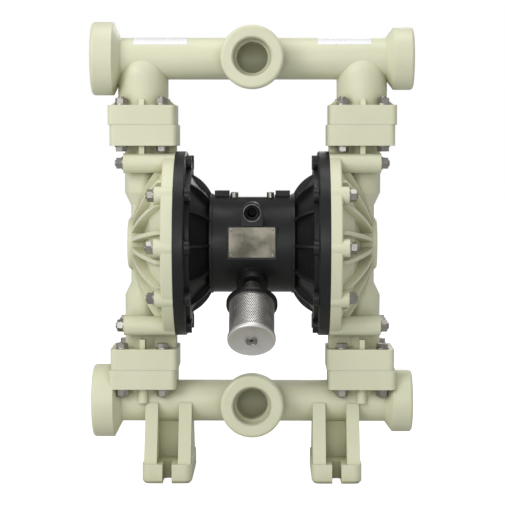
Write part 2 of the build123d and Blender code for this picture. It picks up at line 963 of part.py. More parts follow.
def rod_bushings():
    """The two bushings that guide the rod."""
    seal = body_half_length + spigot_length - rod_seal_length
    ring = bar_x(bushing_radius, seal - bushing_length, seal) - bar_x(rod_radius + running_gap, 0, seal)
    return Compound(both_sides([at_body(ring)]))


def rod_seals():
    """The two rod seals outside the bushings."""
    end = body_half_length + spigot_length
    start = end - rod_seal_length
    ring = bar_x(bushing_radius, start, end) - bar_x(rod_radius + running_gap, 0, end)
    return Compound(both_sides([at_body(ring)]))


def pilot_sleeve():
    """The sleeve that guides the pilot rod."""
    end = body_half_length + spigot_length
    z = body_height - pilot_drop
    return bar_x(pilot_sleeve_radius, -end, end, 0, z) - bar_x(pilot_radius + running_gap, -end, end, 0, z)


def pilot_rod():
    """The pilot rod that the plates push at the ends of the stroke."""
    half = inner_plate_back() - stroke - pilot_travel - pilot_gap
    return bar_x(pilot_radius, -half, half, 0, body_height - pilot_drop)


# Ball valves


def valve_seat(parting):
    """The right-hand seat, with a cone for the ball."""
    outline = [
        (seat_throat, parting - seat_height),
        (seat_radius, parting - seat_height),
        (seat_radius, parting),
        (seat_throat + seat_cone, parting),
        (seat_throat, parting - seat_cone),
    ]
    return Pos(column_x, 0, 0) * turned_upright(outline)


def seat_ring(parting):
    """The flat sealing ring under a seat."""
    top = parting - seat_height
    ring = bar_z(seat_radius, top - seat_ring_height, top, column_x)
    return ring - bar_z(seat_radius - seat_ring_width, top - seat_ring_height, top, column_x)


def ball(parting):
    """The right-hand ball at rest above its seat."""
    return Pos(column_x, 0, ball_rest_height(parting)) * Sphere(ball_radius)


# Main air valve


def valve_face():
    """The face of the gasket that the valve's block sits on."""
    return valve_pad_face + gasket_thickness


def valve_z_range():
    """The height of the valve's block and gasket."""
    return (body_height - valve_half_z, body_height + valve_half_z)


def valve_gasket():
    """The gasket between the valve and its pad."""
    return block((-valve_half_x, valve_half_x), (valve_pad_face, valve_face()), valve_z_range())


def spool_center():
    """The spool's axis, counted from the body axis along Y."""
    return valve_face() + valve_depth / 2


def valve_body():
    """The block that holds the spool."""
    solid = block((-valve_half_x, valve_half_x), (valve_face(), valve_face() + valve_depth), valve_z_range())
    solid = chamfer(solid.edges().group_by(Axis.Y)[-1], valve_edge)
    return solid - bar_x(spool_radius + running_gap, -valve_half_x, valve_half_x, spool_center(), body_height)


def valve_end_cap():
    """The right-hand end cap of the valve."""
    half_y = valve_depth / 2 - end_cap_inset
    half_z = valve_half_z - end_cap_inset
    return block(
        (valve_half_x, valve_half_x + end_cap_thickness),
        (spool_center() - half_y, spool_center() + half_y),
        (body_height - half_z, body_height + half_z),
    )


def valve_spool():
    """The spool with two waists."""
    end = valve_half_x - spool_travel - spool_gap
    right = [
        (spool_groove_near, spool_radius),
        (spool_groove_near, spool_groove_radius),
        (spool_groove_far, spool_groove_radius),
        (spool_groove_far, spool_radius),
        (end, spool_radius),
        (end, 0),
    ]
    left = [(-x, radius) for x, radius in reversed(right)]
    return Pos(0, spool_center(), body_height) * turned(left + right)


# Muffler


def muffler_neck():
    """The threaded pipe between the barrel and the muffler."""
    start = muffler_boss_end - muffler_neck_depth
    end = muffler_base_start + muffler_base_length - muffler_socket_depth
    tube = bar_z(muffler_neck_radius, start, end) - bar_z(muffler_neck_bore, start, end)
    return muffler_frame() * tube


def muffler_base():
    """The base ring, with a socket for the mesh tube."""
    end = muffler_base_start + muffler_base_length
    ring = bar_z(muffler_base_radius, muffler_base_start, end)
    ring = ring - bar_z(muffler_neck_radius + seat_gap, muffler_base_start, end)
    return muffler_frame() * (ring - bar_z(mesh_radius + seat_gap, end - muffler_socket_depth, end))


def muffler_mesh():
    """The perforated tube."""
    start = muffler_base_start + muffler_base_length - muffler_socket_depth
    tube = bar_z(mesh_radius, start, mesh_end) - bar_z(mesh_radius - mesh_wall, start, mesh_end)
    return muffler_frame() * tube


def muffler_end_plate():
    """The pressed end plate, its lip over the mesh tube."""
    start = mesh_end - end_plate_lip
    plate = bar_z(end_plate_radius, start, mesh_end + end_plate_thickness)
    plate = plate - bar_z(mesh_radius + seat_gap, start, mesh_end)
    return muffler_frame() * (plate - bar_z(eyelet_neck + seat_gap, mesh_end, mesh_end + end_plate_thickness))


def muffler_eyelet():
    """The eyelet in the middle of the end plate."""
    face = mesh_end + end_plate_thickness
    outline = [
        (eyelet_bore, mesh_end),
        (eyelet_neck, mesh_end),
        (eyelet_neck, face),
        (eyelet_radius, face),
        (eyelet_bore + eyelet_crown, face + eyelet_height),
        (eyelet_bore, face + eyelet_height),
    ]
    return muffler_frame() * turned_upright(outline)


# Rim and box fasteners. Heads and nuts are drawn, and shanks inside the bosses are not.


def rim_bolts():
    """The right-hand rim bolts' heads, in the air cap's pockets."""
    start = rim_parting - black_rim_thickness - black_boss_length
    heads = [rim_hexagon(m10["flats"], start, m10["head"], angle) for angle in rim_angles()]
    return Compound([at_body(head) for head in heads])


def rim_nuts():
    """The right-hand rim nuts on the fluid cap's bosses."""
    nuts = [rim_hexagon(m10["flats"], boss_end(angle), m10["nut"], angle) for angle in rim_angles()]
    return Compound([at_body(nut) for nut in nuts])


def box_fasteners(seat, height, up):
    """Hexagons of both boxes on one level. up is 1 for those that stand on it and -1 for those that hang."""
    start = seat if up > 0 else seat - height
    pieces = [Pos(x, y, start) * hexagon(m10["flats"], height) for x, y in box_bolt_places()]
    return Compound(both_sides(pieces))


def right_hand_pieces():
    """The pieces that exist on both sides, drawn on the right."""
    return {
        "fluid_cap": fluid_cap(),
        "air_cap": air_cap(),
        "air_cap_screws": air_cap_screws(),
        "rim_bolts": rim_bolts(),
        "rim_nuts": rim_nuts(),
        "diaphragm": diaphragm(),
        "inner_plate": inner_plate(),
        "outer_plate": outer_plate(),
        "rod_nut": rod_nut(),
        "valve_end_cap": valve_end_cap(),
        "suction_seat": valve_seat(lower_parting),
        "discharge_seat": valve_seat(upper_parting),
        "suction_seat_ring": seat_ring(lower_parting),
        "discharge_seat_ring": seat_ring(upper_parting),
        "suction_ball": ball(lower_parting),
        "discharge_ball": ball(upper_parting),
    }


def middle_pieces():
    """The pieces that exist once."""
    return {
        "upper_manifold": upper_manifold(),
        "lower_manifold": lower_manifold(),
        "center_body": center_body(),
        "top_cover": top_cover(),
        "connecting_rod": connecting_rod(),
        "rod_bushings": rod_bushings(),
        "rod_seals": rod_seals(),
        "pilot_sleeve": pilot_sleeve(),
        "pilot_rod": pilot_rod(),
        "valve_gasket": valve_gasket(),
        "valve_body": valve_body(),
        "valve_spool": valve_spool(),
        "muffler_neck": muffler_neck(),
        "muffler_base": muffler_base(),
        "muffler_mesh": muffler_mesh(),
        "muffler_end_plate": muffler_end_plate(),
        "muffler_eyelet": muffler_eyelet(),
        "upper_box_bolts": box_fasteners(upper_parting - cap_half, m10["head"], -1),
        "upper_box_nuts": box_fasteners(upper_parting + manifold_half, m10["nut"], 1),
        "lower_box_bolts": box_fasteners(lower_parting + cap_half, m10["head"], 1),
        "lower_box_nuts": box_fasteners(lower_parting - manifold_half, m10["nut"], -1),
    }


os.makedirs("parts", exist_ok=True)
pieces = middle_pieces()
for name, shape in right_hand_pieces().items():
    pieces["right_" + name] = shape
    pieces["left_" + name] = mirrored(shape)
for name, shape in pieces.items():
    export_step(shape, f"parts/{name}.step")
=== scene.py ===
import json
from math import cos, pi, radians, sin, tan

import bpy
from mathutils import Matrix, Vector

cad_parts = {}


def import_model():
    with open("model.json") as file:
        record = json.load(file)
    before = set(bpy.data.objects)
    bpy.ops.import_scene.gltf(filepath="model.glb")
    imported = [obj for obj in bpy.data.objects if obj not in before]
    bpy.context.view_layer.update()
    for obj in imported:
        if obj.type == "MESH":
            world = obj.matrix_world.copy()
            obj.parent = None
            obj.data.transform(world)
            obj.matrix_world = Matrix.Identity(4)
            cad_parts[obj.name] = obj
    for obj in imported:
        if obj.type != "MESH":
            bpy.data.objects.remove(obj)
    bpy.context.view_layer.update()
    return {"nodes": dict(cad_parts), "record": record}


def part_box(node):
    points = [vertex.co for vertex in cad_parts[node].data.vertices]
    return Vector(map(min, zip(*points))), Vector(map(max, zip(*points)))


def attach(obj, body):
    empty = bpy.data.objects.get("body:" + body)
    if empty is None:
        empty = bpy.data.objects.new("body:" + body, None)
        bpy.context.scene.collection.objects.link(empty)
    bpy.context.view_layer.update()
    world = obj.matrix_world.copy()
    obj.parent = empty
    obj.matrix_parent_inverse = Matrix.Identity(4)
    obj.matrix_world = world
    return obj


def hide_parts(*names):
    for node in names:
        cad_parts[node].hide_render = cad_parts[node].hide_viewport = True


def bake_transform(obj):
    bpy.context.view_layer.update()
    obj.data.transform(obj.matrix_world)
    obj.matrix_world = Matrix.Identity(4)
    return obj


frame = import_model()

# Air operated double diaphragm pump: finishes, fasteners and small fittings around the CAD pieces.
# Metres. X to the right along the rod, Y away from the camera, Z up, origin on the floor.

# Fasteners
nut_flats = 0.016
nut_height = 0.0084
head_height = 0.0064
pocket_head_height = 0.0084
thread_radius = 0.005
thread_pitch = 0.0015
washer_radius = 0.010
washer_height = 0.002
stud_end = 0.0022
rim_bolt_count = 10
long_boss_angle = radians(27)
box_bolt_spacing = 0.060
box_bolt_y = 0.038
rim_nut_turn = 0.7
box_bolt_turn = 31
cover_screw_turn = 40

# Their shapes: angles, and shares of the radius, height, width or pitch that each belongs to
hexagon_sides = 6
hexagon_turn = 2 * pi / hexagon_sides
hexagon_chamfer_circle = 0.96
hexagon_chamfer_slope = radians(30)
head_ring_outer = 0.36
head_ring_inner = 0.33
head_dish = 0.06
nut_countersink = 0.14
socket_screw_edge = 0.12
socket_floor = 0.45
stud_tip = 0.3
stud_shank = 0.98
stud_thread_depth = 0.35
groove_lip = 0.15
washer_edge = 0.2
washer_hole = 1.05
rivet_rise = 0.5

# Upper pipe and its two blank strips
collar_radius = 0.0545
upper_pipe_radius = 0.031
strip_near_x = 0.097
strip_far_x = 0.176
strip_front_angle = radians(50)
strip_back_angle = radians(-6)
film_thickness = 0.0002

# Threads of the pipe ports and the air inlet, standing in from their walls
port_radius = 0.02833
port_chamfer = 0.002
port_pitch = 0.0023
port_thread_depth = 0.0007
port_thread_length = 0.024
front_port_reach = 0.070
inlet_radius = 0.0093
inlet_chamfer = 0.0024
inlet_pitch = 0.0018
inlet_thread_depth = 0.0005
inlet_thread_length = 0.018
ridge_foot = 0.00005
ridge_turn = ((0.1, False), (0.45, True), (0.65, True), (1.0, False))

# Bare plate on the barrel
plate_width = 0.068
plate_height = 0.044
plate_corner = 0.002
plate_thickness = 0.0009
plate_rise = 0.005
barrel_pad_y = -0.0736
rivet_inset = 0.0035
rivet_radius = 0.0017

# Air inlet, cover screws and valve screws
inlet_lift = 0.048
inlet_ring_radius = 0.0124
inlet_ring_width = 0.0011
inlet_ring_height = 0.0008
cover_screw_inset = 0.006
cover_screw_radius = 0.0055
cover_screw_height = 0.0072
valve_screw_radius = 0.0043
valve_screw_height = 0.005
valve_screw_inset = 0.009
end_screw_radius = 0.0033
end_screw_height = 0.0035
end_screw_spread = 0.019

# Muffler, along its own axis from the barrel's axis
muffler_tilt = radians(45)
muffler_boss_end = 0.085
muffler_neck_start = 0.071
muffler_neck_radius = 0.01225
muffler_neck_bore = 0.008
muffler_mesh_start = 0.119
muffler_mesh_end = 0.186
muffler_thread_pitch = 0.0023
muffler_thread_depth = 0.001
mesh_radius = 0.033
mesh_wall = 0.0009
mesh_columns = 68
mesh_rows = 25
mesh_hole = 0.00112
mesh_hole_turn = radians(-150)
core_radius = 0.0316
end_plate_gap = 0.0001
end_plate_radius = 0.035
end_plate_thickness = 0.0025
end_plate_lip = 0.0035
end_plate_round = 0.0022
end_plate_dish = 0.0006
end_plate_border = 0.003
eyelet_radius = 0.0085
eyelet_height = 0.0025
eyelet_neck = 0.004
eyelet_bore = 0.0024
eyelet_rim = 0.0006
eyelet_floor = 0.0003

# Diaphragms, in sectors between the housing and the rod
rim_parting = 0.114
diaphragm_sectors = 8
diaphragm_hole = 0.00805
diaphragm_thickness = 0.004
fold_inner = 0.064
fold_outer = 0.098
fold_slope = 0.010
fold_depth = 0.012
fold_steps = 24
bead_inner = 0.1041
bead_outer = 0.1179
bead_height = 0.0029

# Facets round turned shapes, and the angle from which an edge is sharp
turned_segments = 48
stud_segments = 32
dome_segments = 20
port_segments = 64
end_plate_segments = 96
sharp_angle = radians(40)

# Noises of the materials, each a scale, a detail and a roughness
plastic_clouds = (9.0, 5.0, 0.55)
plastic_patches = (45.0, 3.0, 0.5)
plastic_grain = (900.0, 2.0, 0.6)
metal_clouds = (12.0, 3.0, 0.5)
plate_clouds = (30.0, 3.0, 0.5)
metal_marks = (60.0, 6.0, 0.65)

# Grain, light under the skin, painted shade in crevices and rounded edges of the materials
plastic_roughness_spread = 0.06
plastic_grain_depth = 0.00006
skin_depth = 0.006
skin_colour_reach = (1.0, 0.9, 0.5)
# Painted shade: how far its ambient occlusion reaches, the range that is spread, and its samples
painted_shade_reach = 0.022
painted_shade_range = (0.35, 0.9)
painted_shade_samples = 8
bevel_samples = 6
metal_roughness_spread = 0.08
turned_brush = (0.2, 4, 4)
metal_mark_depth = 0.00002

# Camera, sky, floor and lamps: each lamp's name, place, target, size and power
camera_place = (0.030, -2.772, 0.500)
camera_target = (0.0, 0.0, 0.335)
camera_lens = 131.9
camera_sensor = 36.0
sky_lit = 0.40
sky_seen = 1.0
floor_reach = 12.0
floor_tone = 0.58
floor_roughness = 0.9
floor_seen = 0.86
lamps = (
    ("key", (-2.0, -2.4, 1.7), (0, 0, 0.35), 1.5, 44),
    ("fill", (2.2, -2.4, 1.2), (0, 0, 0.35), 1.8, 3),
    ("front", (-0.2, -3.4, 0.8), (0, 0, 0.35), 1.2, 17),
    ("top", (0.0, -0.1, 2.9), (0, 0, 0.4), 1.6, 20),
    ("back", (0.8, 2.6, 1.6), (0, 0, 0.35), 1.4, 16),
)

# The two sides of the pump
sides = ((-1, "left"), (1, "right"))

# Places that follow from the frame
air_cap_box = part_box("left_air_cap")
body_z = (air_cap_box[0].z + air_cap_box[1].z) / 2
rim_nut_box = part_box("right_rim_nuts")
rim_bolt_circle = rim_nut_box[1].y - nut_flats / 2
short_nut_x = rim_nut_box[0].x
long_nut_x = rim_nut_box[1].x - nut_height - washer_height
rim_head_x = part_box("right_rim_bolts")[1].x
box_bolt_outer_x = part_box("upper_box_nuts")[1].x - nut_flats / 2
inlet_face_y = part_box("center_body")[0].y
upper_pipe_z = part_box("upper_manifold")[1].z - collar_radius
lower_pipe_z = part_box("lower_manifold")[1].z - collar_radius


# Mesh building: a template is a list of points and a list of faces


def at_angle(value, angle):
    """A plain number, or a function's value at an angle."""
    return value(angle) if callable(value) else value


def lofted(rings, segments=turned_segments, closed=False):
    """Rings about Z joined in order, each a radius and a height. Closed joins the last to the first."""
    points = []
    for radius, height in rings:
        for step in range(segments):
            angle = 2 * pi * step / segments
            reach = at_angle(radius, angle)
            points.append((reach * cos(angle), reach * sin(angle), at_angle(height, angle)))
    faces = []
    count = len(rings)
    for ring in range(count if closed else count - 1):
        first = ring * segments
        second = (ring + 1) % count * segments
        for step in range(segments):
            after = (step + 1) % segments
            faces.append((first + step, first + after, second + after, second + step))
    if not closed:
        faces.append(tuple(reversed(range(segments))))
        faces.append(tuple(range((count - 1) * segments, count * segments)))
    return points, faces


def quarter_round(radius, height, bend, steps=5):
    """(radius, height) points round a convex outer edge, from its side to its top."""
    points = []
    for step in range(steps + 1):
        angle = pi / 2 * step / steps
        points.append((radius - bend + bend * cos(angle), height - bend + bend * sin(angle)))
    return points


def hexagon_side(flats):
    """The distance from the axis to a hexagon's side, as a function of the angle."""
    half = hexagon_turn / 2
    return lambda angle: flats / 2 / cos((angle + half) % hexagon_turn - half)


def hexagon_rings(flats, height):
    """The outer rings of a hexagonal nut or head, its upper corners cut by a cone."""
    side = hexagon_side(flats)
    flat_circle = flats / 2 * hexagon_chamfer_circle
    return [
        (side, 0.0),
        (side, lambda angle: height - (side(angle) - flat_circle) * tan(hexagon_chamfer_slope)),
        (flat_circle, height),
    ]


def hexagon_nut(flats, height, hole):
    """A hexagonal nut on z = 0."""
    countersink = hole * nut_countersink
    inside = [(hole + countersink, height), (hole, height - countersink), (hole, 0.0)]
    return lofted(hexagon_rings(flats, height) + inside, closed=True)


def hexagon_head(flats, height):
    """A hexagonal head on z = 0, its top slightly dished inside a raised ring."""
    inside = [(flats * head_ring_outer, height), (flats * head_ring_inner, height - height * head_dish)]
    return lofted(hexagon_rings(flats, height) + inside)


def socket_screw(radius, height):
    """A round head on z = 0 with a hexagonal socket."""
    socket = hexagon_side(radius)
    edge = quarter_round(radius, height, radius * socket_screw_edge)
    return lofted([(radius, 0.0)] + edge + [(socket, height), (socket, height * socket_floor)])


def threaded_profile(radius, start, end, pitch, depth):
    """(radius, height) points of ring grooves between two heights."""
    profile = []
    height = start
    while height + pitch < end:
        profile.append((radius, height + pitch * groove_lip))
        profile.append((radius - depth, height + pitch / 2))
        profile.append((radius, height + pitch * (1 - groove_lip)))
        height += pitch
    return profile


def stud(radius, start, end):
    """A bolt's threaded end with a rounded tip."""
    tip = radius * stud_tip
    grooves = threaded_profile(radius, start, end - tip, thread_pitch, thread_pitch * stud_thread_depth)
    return lofted([(radius, start)] + grooves + quarter_round(radius, end, tip), stud_segments)


def washer():
    """A flat washer on z = 0."""
    edge = washer_height * washer_edge
    hole = thread_radius * washer_hole
    inner = [(hole, washer_height), (hole, 0.0)]
    outer = [(washer_radius - edge, 0.0), (washer_radius, edge)]
    return lofted(outer + quarter_round(washer_radius, washer_height, edge, steps=2) + inner, closed=True)


def internal_thread(radius, pitch, depth, length):
    """Thread ridges inside a bore whose mouth is on z = 0, running down to -length."""
    rings = [(radius, -length), (radius, 0.0)]
    for turn in range(int(length / pitch)):
        for share, on_crest in ridge_turn:
            reach = depth if on_crest else ridge_foot
            rings.append((radius - reach, -pitch * (turn + share)))
    return lofted(rings, port_segments, closed=True)


def swept_sector(section, sector, steps=6):
    """A closed section of (radius, height) points swept about Z through an angle, its middle on +X."""
    points = []
    for step in range(steps + 1):
        angle = sector * (step / steps - 0.5)
        points.extend((radius * cos(angle), radius * sin(angle), height) for radius, height in section)
    count = len(section)
    faces = [tuple(range(count)), tuple(reversed(range(steps * count, (steps + 1) * count)))]
    for step in range(steps):
        low = step * count
        for corner in range(count):
            after = (corner + 1) % count
            faces.append((low + corner, low + count + corner, low + count + after, low + after))
    return points, faces


def ring_bead(radius, width, height, steps=6):
    """A half-round ring standing on z = 0."""
    bead = []
    for step in range(steps + 1):
        angle = pi * step / steps
        bead.append((radius + width / 2 * cos(angle), height * sin(angle)))
    return lofted(bead, port_segments, closed=True)


def dome(radius, height, steps=5):
    """A low dome on z = 0, flat at its very top."""
    rings = []
    for step in range(steps):
        angle = pi / 2 * step / steps
        rings.append((radius * cos(angle), height * sin(angle)))
    return lofted(rings, dome_segments)


def rounded_plate(width, height, corner, thickness, steps=5):
    """A flat plate on z = 0 with rounded corners."""
    outline = []
    centres = ((1, 1, 0), (-1, 1, 1), (-1, -1, 2), (1, -1, 3))
    for x_sign, y_sign, quarter in centres:
        for step in range(steps + 1):
            angle = pi / 2 * (quarter + step / steps)
            x = x_sign * (width / 2 - corner) + corner * cos(angle)
            y = y_sign * (height / 2 - corner) + corner * sin(angle)
            outline.append((x, y))
    count = len(outline)
    points = [(x, y, level) for level in (0.0, thickness) for x, y in outline]
    faces = [(step, (step + 1) % count, count + (step + 1) % count, count + step) for step in range(count)]
    faces.append(tuple(reversed(range(count))))
    faces.append(tuple(range(count, 2 * count)))
    return points, faces


def curved_film(radius, thickness, x_range, angle_range, steps=16):
    """A film wrapped about X; angles are counted from straight up towards the front."""
    points = []
    for step in range(steps + 1):
        angle = angle_range[0] + (angle_range[1] - angle_range[0]) * step / steps
        for reach in (radius, radius + thickness):
            for x in x_range:
                points.append((x, -reach * sin(angle), reach * cos(angle)))
    corners = (0, 1, 3, 2)
    count = len(corners)
    faces = [corners, tuple(count * steps + corner for corner in (0, 2, 3, 1))]
    for low in range(0, count * steps, count):
        for first, second in ((0, 1), (1, 3), (3, 2), (2, 0)):
            faces.append((low + first, low + count + first, low + count + second, low + second))
    return points, faces


def perforated_tube(radius, start, end, hole):
    """A tube's skin about Z with staggered six-sided holes, one in each brick of a running bond."""
    half_turns = 2 * mesh_columns
    half_angle = 2 * pi / half_turns
    row_height = (end - start) / mesh_rows

    def on_tube(half_columns, height):
        angle = half_columns * half_angle
        return (radius * cos(angle), radius * sin(angle), height)

    points = []
    for row in range(mesh_rows + 1):
        points.extend(on_tube(half, start + row * row_height) for half in range(half_turns))
    faces = []
    for row in range(mesh_rows):
        for column in range(mesh_columns):
            left = 2 * column + row % 2
            brick = [row * half_turns + (left + shift) % half_turns for shift in (0, 1, 2)]
            brick += [(row + 1) * half_turns + (left + shift) % half_turns for shift in (2, 1, 0)]
            first = len(points)
            middle = start + (row + 0.5) * row_height
            for corner in range(hexagon_sides):
                angle = mesh_hole_turn + hexagon_turn * corner
                across = hole * cos(angle) / (radius * half_angle)
                points.append(on_tube(left + 1 + across, middle + hole * sin(angle)))
            for corner in range(hexagon_sides):
                after = (corner + 1) % hexagon_sides
                faces.append((brick[corner], brick[after], first + after, first + corner))
    return points, faces


def moved(template, matrix):
    """A template under a matrix."""
    points, faces = template
    return [tuple(matrix @ Vector(point)) for point in points], faces


def frame_at(origin, axis, turn=0.0):
    """A matrix that puts a template's Z axis along axis, at origin, turned about that axis."""
    aim = Vector((0, 0, 1)).rotation_difference(Vector(axis)).to_matrix().to_4x4()
    return Matrix.Translation(Vector(origin)) @ aim @ Matrix.Rotation(turn, 4, "Z")


def placed(stack, places):
    """Copies of a stack of templates, one at each matrix."""
    return [moved(template, place) for place in places for template in stack]


def piece(name, templates, material, replaces=(), rides=True):
    """One object from several templates, riding on the housing unless rides is false."""
    points = []
    faces = []
    for template_points, template_faces in templates:
        start = len(points)
        points.extend(template_points)
        faces.extend(tuple(index + start for index in face) for face in template_faces)
    mesh = bpy.data.meshes.new(name)
    mesh.from_pydata(points, [], faces)
    mesh.validate()
    mesh.shade_smooth()
    mesh.set_sharp_from_angle(angle=sharp_angle)
    mesh.materials.append(material)
    made = bpy.data.objects.new(name, mesh)
    bpy.context.scene.collection.objects.link(made)
    if rides:
        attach(made, "housing")
    if replaces:
        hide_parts(*replaces)
    return made


# Materials


def shader(name):
    """A new node material with its principled shader."""
    material = bpy.data.materials.new(name)
    material.use_nodes = True
    nodes = material.node_tree.nodes
    return material, nodes, material.node_tree.links, nodes["Principled BSDF"]


def noise(nodes, links, values, stretch=None):
    """A noise in object space from its scale, detail and roughness; stretch scales each axis."""
    place = nodes.new("ShaderNodeTexCoord")
    texture = nodes.new("ShaderNodeTexNoise")
    for name, value in zip(("Scale", "Detail", "Roughness"), values):
        texture.inputs[name].default_value = value
    if stretch:
        mapping = nodes.new("ShaderNodeMapping")
        mapping.inputs["Scale"].default_value = stretch
        links.new(place.outputs["Object"], mapping.inputs["Vector"])
        links.new(mapping.outputs["Vector"], texture.inputs["Vector"])
    else:
        links.new(place.outputs["Object"], texture.inputs["Vector"])
    return texture.outputs["Fac"]


def spread(nodes, links, value, low, high, start=0.35, end=0.65):
    """A value remapped from start..end to low..high."""
    remap = nodes.new("ShaderNodeMapRange")
    remap.inputs["From Min"].default_value = start
    remap.inputs["From Max"].default_value = end
    remap.inputs["To Min"].default_value = low
    remap.inputs["To Max"].default_value = high
    links.new(value, remap.inputs["Value"])
    return remap.outputs["Result"]


def blended(nodes, links, factor, first, second):
    """A colour between two colours, each a tuple or the output of another node."""
    mix = nodes.new("ShaderNodeMix")
    mix.data_type = "RGBA"
    for socket, colour in (("A", first), ("B", second)):
        if isinstance(colour, tuple):
            mix.inputs[socket].default_value = (*colour, 1)
        else:
            links.new(colour, mix.inputs[socket])
    links.new(factor, mix.inputs["Factor"])
    return mix.outputs["Result"]


def with_painted_crevice_shade(nodes, links, colour, painted_shade_colour):
    """Painted shade: a colour darkened towards the shade colour where other faces stand close by, from
    ambient occlusion.
    """
    closeness = nodes.new("ShaderNodeAmbientOcclusion")
    closeness.samples = painted_shade_samples
    closeness.inputs["Distance"].default_value = painted_shade_reach
    openness = spread(nodes, links, closeness.outputs["AO"], 0.0, 1.0, *painted_shade_range)
    return blended(nodes, links, openness, painted_shade_colour, colour)


def bumped(nodes, links, principled, height, distance, edge):
    """Bump from a height, over edges rounded by a bevel of the given radius."""
    bump = nodes.new("ShaderNodeBump")
    bump.inputs["Distance"].default_value = distance
    bevel = nodes.new("ShaderNodeBevel")
    bevel.samples = bevel_samples
    bevel.inputs["Radius"].default_value = edge
    links.new(height, bump.inputs["Height"])
    links.new(bevel.outputs["Normal"], bump.inputs["Normal"])
    links.new(bump.outputs["Normal"], principled.inputs["Normal"])


def moulded_plastic(name, light, dark, roughness, edge, glow=0.0, shine=0.5, painted_shade_colour=None):
    """Moulded plastic with a cloudy colour, a fine grain and rounded edges.

    The glow is light carried under the skin, the shine is the strength of its reflections, and the
    last colour is the shade painted into narrow places and creases.
    """
    material, nodes, links, principled = shader(name)
    clouds = spread(nodes, links, noise(nodes, links, plastic_clouds), 0.0, 1.0)
    colour = blended(nodes, links, clouds, dark, light)
    # Painted shade: narrow places and creases darkened in the colour itself
    if painted_shade_colour:
        colour = with_painted_crevice_shade(nodes, links, colour, painted_shade_colour)
    links.new(colour, principled.inputs["Base Color"])
    patches = noise(nodes, links, plastic_patches)
    dullest = roughness + plastic_roughness_spread
    shiniest = roughness - plastic_roughness_spread
    links.new(spread(nodes, links, patches, shiniest, dullest), principled.inputs["Roughness"])
    principled.inputs["Specular IOR Level"].default_value = shine
    principled.inputs["Subsurface Weight"].default_value = glow
    principled.inputs["Subsurface Radius"].default_value = skin_colour_reach
    principled.inputs["Subsurface Scale"].default_value = skin_depth
    grain = noise(nodes, links, plastic_grain)
    bumped(nodes, links, principled, grain, plastic_grain_depth, edge)
    return material


def metal(name, light, dark, roughness, brush=(1, 1, 1), edge=0.0003, clouds=metal_clouds):
    """Metal with a cloudy tone and fine brush marks; brush scales the marks along each axis."""
    material, nodes, links, principled = shader(name)
    principled.inputs["Metallic"].default_value = 1.0
    tone = spread(nodes, links, noise(nodes, links, clouds), 0.0, 1.0)
    links.new(blended(nodes, links, tone, dark, light), principled.inputs["Base Color"])
    marks = noise(nodes, links, metal_marks, brush)
    dullest = roughness + metal_roughness_spread
    shiniest = roughness - metal_roughness_spread
    links.new(spread(nodes, links, marks, shiniest, dullest), principled.inputs["Roughness"])
    bumped(nodes, links, principled, marks, metal_mark_depth, edge)
    return material


cream = moulded_plastic(
    "cream_polypropylene",
    light=(0.740, 0.744, 0.550),
    dark=(0.700, 0.704, 0.510),
    roughness=0.45,
    edge=0.0013,
    glow=0.2,
    # Painted shade colour for the creases, the bores and the roots of the ribs
    painted_shade_colour=(0.53, 0.527, 0.35),
)
black = moulded_plastic(
    "black_polypropylene",
    light=(0.0110, 0.0115, 0.0125),
    dark=(0.0070, 0.0073, 0.0080),
    roughness=0.42,
    edge=0.0009,
    shine=0.35,
)
black_rubber = moulded_plastic(
    "black_rubber",
    light=(0.022, 0.022, 0.022),
    dark=(0.015, 0.015, 0.015),
    roughness=0.7,
    edge=0.0004,
)
white_ptfe = moulded_plastic(
    "white_ptfe",
    light=(0.80, 0.80, 0.77),
    dark=(0.76, 0.76, 0.73),
    roughness=0.35,
    edge=0.0004,
)
bushing_plastic = moulded_plastic(
    "bushing_acetal",
    light=(0.62, 0.60, 0.52),
    dark=(0.57, 0.55, 0.47),
    roughness=0.35,
    edge=0.0003,
)
muffler_black = moulded_plastic(
    "muffler_plastic",
    light=(0.010, 0.010, 0.011),
    dark=(0.006, 0.006, 0.007),
    roughness=0.38,
    edge=0.0008,
    shine=0.35,
)
felt = moulded_plastic(
    "dark_felt",
    light=(0.020, 0.019, 0.018),
    dark=(0.010, 0.010, 0.009),
    roughness=0.9,
    edge=0.0001,
)
white_film = moulded_plastic(
    "white_film",
    light=(0.88, 0.88, 0.89),
    dark=(0.84, 0.84, 0.86),
    roughness=0.28,
    edge=0.0001,
)
stainless = metal(
    "stainless_fasteners",
    light=(0.44, 0.42, 0.385),
    dark=(0.30, 0.285, 0.26),
    roughness=0.33,
)
rod_steel = metal(
    "ground_rod",
    light=(0.60, 0.60, 0.60),
    dark=(0.50, 0.50, 0.50),
    roughness=0.24,
    brush=turned_brush,
)
pressed_steel = metal(
    "pressed_end_plate",
    light=(0.84, 0.82, 0.80),
    dark=(0.76, 0.74, 0.72),
    roughness=0.48,
    brush=(2, 1, 1),
)
zinc = metal(
    "zinc_neck",
    light=(0.115, 0.110, 0.100),
    dark=(0.070, 0.066, 0.060),
    roughness=0.42,
)
brass = metal(
    "sleeve_brass",
    light=(0.72, 0.56, 0.26),
    dark=(0.60, 0.46, 0.20),
    roughness=0.30,
    brush=turned_brush,
)
spool_aluminium = metal(
    "spool_aluminium",
    light=(0.66, 0.66, 0.68),
    dark=(0.56, 0.56, 0.58),
    roughness=0.32,
    brush=turned_brush,
)
plate_steel = metal(
    "bare_plate",
    light=(0.24, 0.225, 0.18),
    dark=(0.085, 0.080, 0.066),
    roughness=0.36,
    brush=(1, 1, 25),
    edge=0.0002,
    clouds=plate_clouds,
)
mesh_steel = metal(
    "perforated_steel",
    light=(0.74, 0.72, 0.69),
    dark=(0.66, 0.64, 0.61),
    roughness=0.47,
    edge=0.0001,
)

